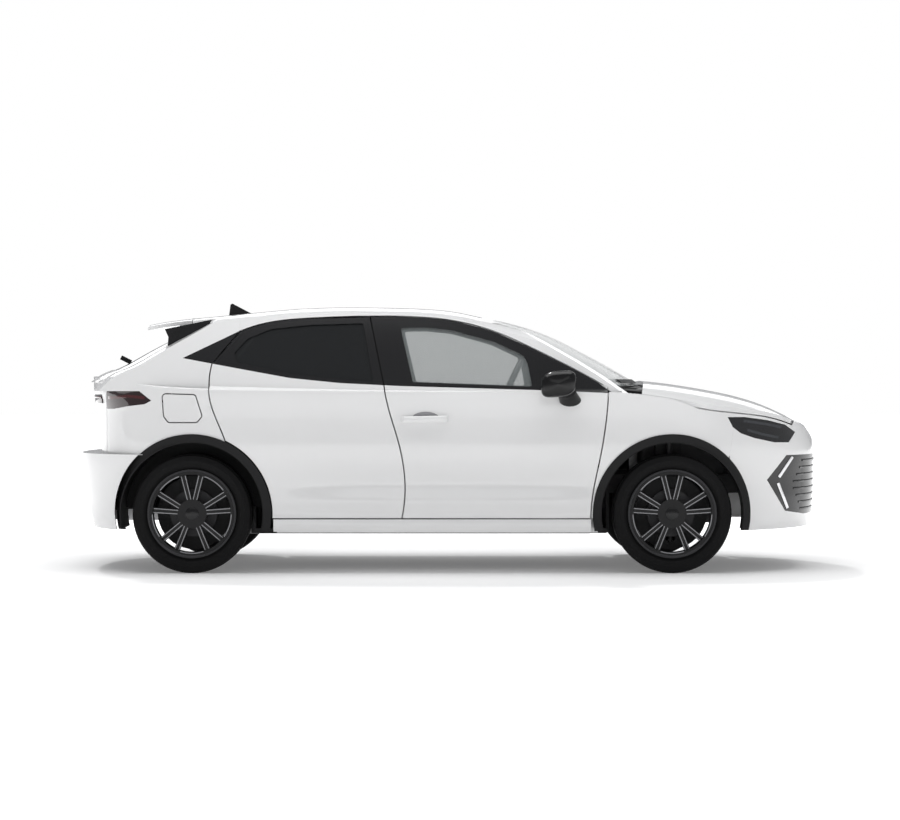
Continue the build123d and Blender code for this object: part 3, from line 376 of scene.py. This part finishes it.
def flat_line(points, width, y, axle, side):
    """A thin raised line on the face of a wheel."""
    spots, faces = [], []
    last = len(points) - 1
    for i, (x, z) in enumerate(points):
        before, after = points[max(i - 1, 0)], points[min(i + 1, last)]
        run = Vector((after[0] - before[0], after[1] - before[1])).normalized()
        edge = Vector((-run.y, run.x)) * width / 2
        for turn, lift in ((-1, 0.002), (-1, -0.0012), (1, -0.0012), (1, 0.002)):
            spots.append(wheel_spot(x + turn * edge.x, y + lift, z + turn * edge.y, axle, side))
    for i in range(last):
        for k in range(4):
            n = (k + 1) % 4
            faces.append((4 * i + k, 4 * i + n, 4 * i + 4 + n, 4 * i + 4 + k))
    faces += [(0, 1, 2, 3), (4 * last + 3, 4 * last + 2, 4 * last + 1, 4 * last)]
    return spots, faces


def gather(parts):
    """The points and faces of several parts joined into one set."""
    spots, faces = [], []
    for more, sides in parts:
        start = len(spots)
        spots += more
        faces += [tuple(start + i for i in f) for f in sides]
    return spots, faces


def turned(x, z, angle):
    """A place on a wheel's face turned about its axle."""
    c, s = math.cos(angle), math.sin(angle)
    return (c * x - s * z, s * x + c * z)


for end, axle in (("front", 1.210), ("rear", -1.381)):
    for side in ("right", "left"):
        body = "wheel_%s_%s" % (end, side)
        lines = []
        for k in range(5):
            angle = math.pi / 2 + math.tau * k / 5
            for way in (1, -1):
                for row in ([(0.075, 0.0255), (0.213, 0.0612)], [(0.078, 0.0062), (0.213, 0.0388)]):
                    path = [turned(x, way * z, angle) for x, z in row]
                    lines.append(flat_line(path, 0.0045, -0.0742, axle, side))
            arc = [turned(0.2125 * math.cos(t), 0.2125 * math.sin(t), angle) for t in
                   [0.33 + (math.tau / 5 - 0.66) * n / 10 for n in range(11)]]
            lines.append(flat_line(arc, 0.005, -0.0935, axle, side))
        piece("Machined lines " + body, *gather(lines), "machined", body, False)
        rim = ((0.2375, -0.0945), (0.2385, -0.0965), (0.2285, -0.0965), (0.2265, -0.0945))
        ring_spots, ring_faces = [], []
        for n in range(72):
            t = math.tau * n / 72
            for radius, y in rim:
                ring_spots.append(wheel_spot(radius * math.cos(t), y, radius * math.sin(t), axle, side))
        for n in range(72):
            m = (n + 1) % 72
            for k in range(4):
                q = (k + 1) % 4
                ring_faces.append((4 * n + k, 4 * n + q, 4 * m + q, 4 * m + k))
        piece("Rim lip " + body, ring_spots, ring_faces, "lip", body)
        cap = []
        for radius, y in ((0.036, -0.0735), (0.035, -0.0775), (0.026, -0.0795), (0.008, -0.0802)):
            cap.append([wheel_spot(radius * math.cos(t), y, radius * math.sin(t), axle, side)
                        for t in [math.tau * n / 32 for n in range(32)]])
        piece("Centre cap " + body, *tube(cap), "gloss_black", body)
        shield = []
        for radius, y in ((0.200, 0.062), (0.200, 0.066), (0.03, 0.066)):
            shield.append([wheel_spot(radius * math.cos(t), y, radius * math.sin(t), axle, side)
                           for t in [math.tau * n / 40 for n in range(40)]])
        piece("Brake shield " + body, *tube(shield), "underbody", body)
        tread = []
        for row, start in ((-0.062, 0.0), (-0.031, 0.5), (0.0, 0.0), (0.031, 0.5), (0.062, 0.0)):
            for n in range(48):
                t0 = math.tau * (n + start) / 48
                block = []
                for y in (row - 0.0125, row + 0.0125):
                    for r in (0.3195, 0.3212):
                        for t in (t0, t0 + 0.105):
                            block.append(wheel_spot(r * math.cos(t), y, r * math.sin(t), axle, side))
                tread.append((block, [(0, 1, 3, 2), (4, 6, 7, 5), (0, 4, 5, 1), (2, 3, 7, 6), (0, 2, 6, 4),
                                      (1, 5, 7, 3)]))
        piece("Tread " + body, *gather(tread), "tyre", body, False)

# Door mirrors with rounded housings.
housing = []
for n in range(13):
    t = n / 12
    y = -0.892 - 0.118 * t
    swell = (1.0 - abs(2 * t - 1) ** 3.0) ** 0.5 if 0 < n < 12 else 0.02
    ring = []
    for k in range(28):
        angle = math.tau * k / 28
        c, q = math.cos(angle), math.sin(angle)
        x = 0.588 + 0.098 * swell * math.copysign(abs(c) ** 0.62, c) * (1.0 if c > 0 else 0.92)
        z = 1.021 + 0.070 * swell * math.copysign(abs(q) ** 0.62, q) + 0.014 * c * swell
        ring.append(Vector((x, y, z)))
    housing.append(ring)
stalk = []
for t in (0.0, 0.3, 0.7, 1.0):
    y = -0.835 - 0.085 * t
    ring = []
    for k in range(20):
        angle = math.tau * k / 20
        x = 0.665 - 0.03 * t + (0.062 - 0.012 * t) * math.cos(angle)
        z = 0.918 + 0.06 * t + (0.042 - 0.012 * t) * math.sin(angle)
        ring.append(Vector((x, y, z)))
    stalk.append(ring)
spots, faces = gather([tube(housing), tube(stalk)])
for side, way in (("right", 1.0), ("left", -1.0)):
    placed = [(p.x, way * p.y, p.z) for p in spots]
    cover = piece("Mirror housing " + side, placed, faces, "gloss_black", "door_front_" + side)
    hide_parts("mirror_" + side)

# Inner elements of the head lamps and the light bars of the tail lamps.
lamps = skin_tree("headlamps")
LAMP_LINES = {
    "upper": [(1.60, 0.822), (1.72, 0.805), (1.82, 0.785)],
    "lower": [(1.62, 0.772), (1.72, 0.745), (1.80, 0.730)],
}
for label, line in LAMP_LINES.items():
    pair("Lamp element " + label, *strip(lamps, line, 0.014, 0.0015, 0.002), "lamp_inner", "body", "body")
tails = skin_tree("tail_lamps")
TAIL_LINE = [(-1.86, 0.945), (-1.72, 0.955), (-1.64, 0.945)]
pair("Tail light bar", *strip(tails, TAIL_LINE, 0.016, 0.0015, 0.002), "tail_bar", "body", "body")

blade = [(-1.551, 1.321), (-1.288, 1.374), (-1.337, 1.311), (-1.537, 1.196), (-1.531, 1.278)]
rings = [[Vector((x, y, z)) for x, z in blade] for y in (-0.592, -0.580)]
pair("Spoiler blade", *tube(rings), "gloss_black", "tailgate", "tailgate", False)

def first_hit(tree, start, way):
    """The first place where a ray meets a skin, or nothing."""
    return tree.ray_cast(Vector(start), Vector(way))[0]


def top_edge(tree, y, x, way, highest, lowest):
    """The highest place where a skin meets rays along the car's length at one distance from its middle."""
    z = highest
    while z > lowest:
        hit = first_hit(tree, (x, y, z), (way, 0.0, 0.0))
        if hit:
            return hit
        z -= 0.003
    return None


def sheet_between(columns, thick):
    """A thin closed sheet over columns of points that run from one edge to the other."""
    rings = []
    for column in columns:
        under = [Vector((p.x, p.y, p.z - thick)) for p in reversed(column)]
        rings.append(list(column) + under)
    return tube(rings)


# The nose panel between the bonnet's front edge and the bumper, and the ledge over the rear bumper.
bonnet_skin = skin_tree("bonnet")
front_skin = skin_tree("front_bumper")
columns = []
for n in range(57):
    y = -0.60 + 1.20 * n / 56
    edge = top_edge(front_skin, y, 3.0, -1.0, 0.90, 0.50)
    x = 2.06
    lip = None
    while x > 1.5 and lip is None:
        lip = first_hit(bonnet_skin, (x, y, 2.0), (0.0, 0.0, -1.0))
        x -= 0.003
    if edge is None or lip is None or lip.x > edge.x - 0.004:
        continue
    start = Vector((lip.x + 0.004, y, lip.z - 0.003))
    end = Vector((edge.x - 0.001, y, edge.z))
    middle = (start + end) / 2 + Vector((0.010, 0.0, 0.012)) * min(1.0, (end - start).length / 0.08)
    columns.append([start, (start + middle) / 2 + Vector((0.002, 0, 0.003)), middle,
                    (middle + end) / 2 + Vector((0.003, 0, 0.002)), end])
if len(columns) > 3:
    piece("Nose panel", *sheet_between(columns, 0.003), "body_white", "body")

rear_skin = skin_tree("rear_bumper")
tail_skin = skin_tree("tailgate", "quarter_panels")
columns = []
for n in range(81):
    y = -0.80 + 1.60 * n / 80
    edge = top_edge(rear_skin, y, -3.0, 1.0, 0.72, 0.40)
    if edge is None:
        continue
    back = first_hit(tail_skin, (-3.0, y, edge.z + 0.03), (1.0, 0.0, 0.0))
    inner = (back.x if back else edge.x + 0.12) + 0.02
    if inner < edge.x + 0.01:
        continue
    level = edge.z - 0.002
    columns.append([Vector((edge.x + 0.001, y, level)), Vector((edge.x + 0.02, y, level + 0.002)),
                    Vector(((edge.x + inner) / 2, y, level + 0.003)), Vector((inner, y, level + 0.003))])
if len(columns) > 3:
    piece("Bumper ledge", *sheet_between(columns, 0.003), "body_white", "body")

# Lamp ends on the tailgate, slats in the front mouth and dark walls inside the rear arches.
gate_skin = skin_tree("tailgate")


def end_bar(tree, x, way, spots, height, lift):
    """A bar that follows an end of the car along a line of places across it."""
    rings = []
    for y, z in spots:
        hit = first_hit(tree, (x, y, z), (way, 0.0, 0.0))
        if hit is None:
            continue
        out = -way * lift
        rings.append([Vector((hit.x - out, y, z - height / 2)), Vector((hit.x + out, y, z - height / 2)),
                      Vector((hit.x + out * 1.4, y, z)), Vector((hit.x + out, y, z + height / 2)),
                      Vector((hit.x - out, y, z + height / 2))])
    return tube(rings)


bar = [(-0.535 + 0.20 * n / 12, 0.945 + 0.004 * n / 12) for n in range(13)]
pair("Tail lamp end", *end_bar(gate_skin, -3.0, 1.0, bar, 0.062, 0.003), "lamp_red", "tailgate", "tailgate")
bar = [(-0.53 + 0.19 * n / 12, 0.947 + 0.004 * n / 12) for n in range(13)]
light_bar = end_bar(gate_skin, -3.0, 1.0, bar, 0.014, 0.0055)
pair("Tail lamp end bar", *light_bar, "tail_bar", "tailgate", "tailgate")
slats = []
for row in range(8):
    z = 0.336 + 0.038 * row
    reach = 0.50 + 0.10 * (1.0 - abs(z - 0.47) / 0.16)
    row_spots = [(-reach + 2 * reach * n / 40, z) for n in range(41)]
    slats.append(end_bar(nose, 3.0, -1.0, row_spots, 0.012, 0.004))
piece("Grille slats", *gather(slats), "gloss_black", "body")
for side, way in (("right", -1.0), ("left", 1.0)):
    arc = [math.pi * (0.02 + 0.96 * n / 36) for n in range(37)]
    outer = [Vector((-1.381 + 0.40 * math.cos(t), way * 0.588, 0.321 + 0.40 * math.sin(t))) for t in arc]
    inner = [Vector((p.x, way * 0.584, p.z)) for p in outer]
    piece("Arch wall " + side, *tube([outer, inner]), "trim_black", "body", False)

# Floor, light and camera.
floor_mesh = bpy.data.meshes.new("Floor")
floor_mesh.from_pydata([(-60, -40, 0), (60, -40, 0), (60, 60, 0), (-60, 60, 0)], [], [(0, 1, 2, 3)])
floor = bpy.data.objects.new("Floor", floor_mesh)
scene.collection.objects.link(floor)
floor_mesh.materials.append(
    material("Studio floor", (0.78, 0.78, 0.78), 0.9, 2.0, 0.01, emission=(1.0, 1.0, 1.0))
)
# The floor glows more with distance from the car: far off the glow makes the floor plain white, while close
# in the floor is left darker, a painted shade round the car that deepens the real shadow under it.
tree = floor_mesh.materials[0].node_tree
where = tree.nodes.new("ShaderNodeTexCoord")
spread = tree.nodes.new("ShaderNodeVectorMath")
spread.operation = "LENGTH"
tree.links.new(where.outputs["Object"], spread.inputs[0])
fade = tree.nodes.new("ShaderNodeMapRange")
fade.interpolation_type = "SMOOTHSTEP"
fade.inputs["From Min"].default_value = 1.6
fade.inputs["From Max"].default_value = 5.0
fade.inputs["To Min"].default_value = 0.16
fade.inputs["To Max"].default_value = 1.05
tree.links.new(spread.outputs["Value"], fade.inputs["Value"])
tree.links.new(fade.outputs[0], tree.nodes["Principled BSDF"].inputs["Emission Strength"])

world = bpy.data.worlds.new("Studio")
scene.world = world
world.use_nodes = True
tree = world.node_tree
tree.nodes.clear()
light = tree.nodes.new("ShaderNodeBackground")
light.inputs["Color"].default_value = (0.75, 0.76, 0.78, 1.0)
light.inputs["Strength"].default_value = 0.40
paper = tree.nodes.new("ShaderNodeBackground")
paper.inputs["Color"].default_value = (1.0, 1.0, 1.0, 1.0)
paper.inputs["Strength"].default_value = 1.0
path = tree.nodes.new("ShaderNodeLightPath")
mix = tree.nodes.new("ShaderNodeMixShader")
out = tree.nodes.new("ShaderNodeOutputWorld")
tree.links.new(path.outputs["Is Camera Ray"], mix.inputs["Fac"])
tree.links.new(light.outputs[0], mix.inputs[1])
tree.links.new(paper.outputs[0], mix.inputs[2])
tree.links.new(mix.outputs[0], out.inputs["Surface"])


def area_light(name, place, target, width, depth, power):
    """A rectangular softbox turned towards one place."""
    data = bpy.data.lights.new(name, "AREA")
    data.shape = "RECTANGLE"
    data.size = width
    data.size_y = depth
    data.energy = power
    obj = bpy.data.objects.new(name, data)
    obj.location = place
    obj.rotation_euler = (Vector(target) - Vector(place)).to_track_quat("-Z", "Y").to_euler()
    scene.collection.objects.link(obj)
    return obj


area_light("Overhead softbox", (0.0, -0.5, 6.5), (0.0, 0.0, 0.0), 9.0, 5.0, 330)
area_light("Side softbox", (1.0, -9.0, 4.2), (0.0, 0.0, 0.7), 10.0, 3.0, 70)
area_light("Rear softbox", (0.0, 9.0, 4.0), (0.0, 0.0, 0.7), 10.0, 3.0, 120)

sun_data = bpy.data.lights.new("Low sun", "SUN")
sun_data.energy = 0.9
sun_data.angle = math.radians(4.0)
sun = bpy.data.objects.new("Low sun", sun_data)
sun.rotation_euler = Vector((0.30, -0.85, -1.0)).to_track_quat("-Z", "Y").to_euler()
scene.collection.objects.link(sun)

camera_data = bpy.data.cameras.new("Camera")
camera_data.lens = 113.5
camera_data.sensor_width = 36.0
camera = bpy.data.objects.new("Camera", camera_data)
camera.location = (0.011, -16.13, 1.064)
camera.rotation_euler = (Vector((0.011, 0.0, 0.871)) - camera.location).to_track_quat("-Z", "Y").to_euler()
camera_data.clip_end = 500.0
scene.collection.objects.link(camera)
scene.camera = camera
scene.view_settings.view_transform = "Standard"
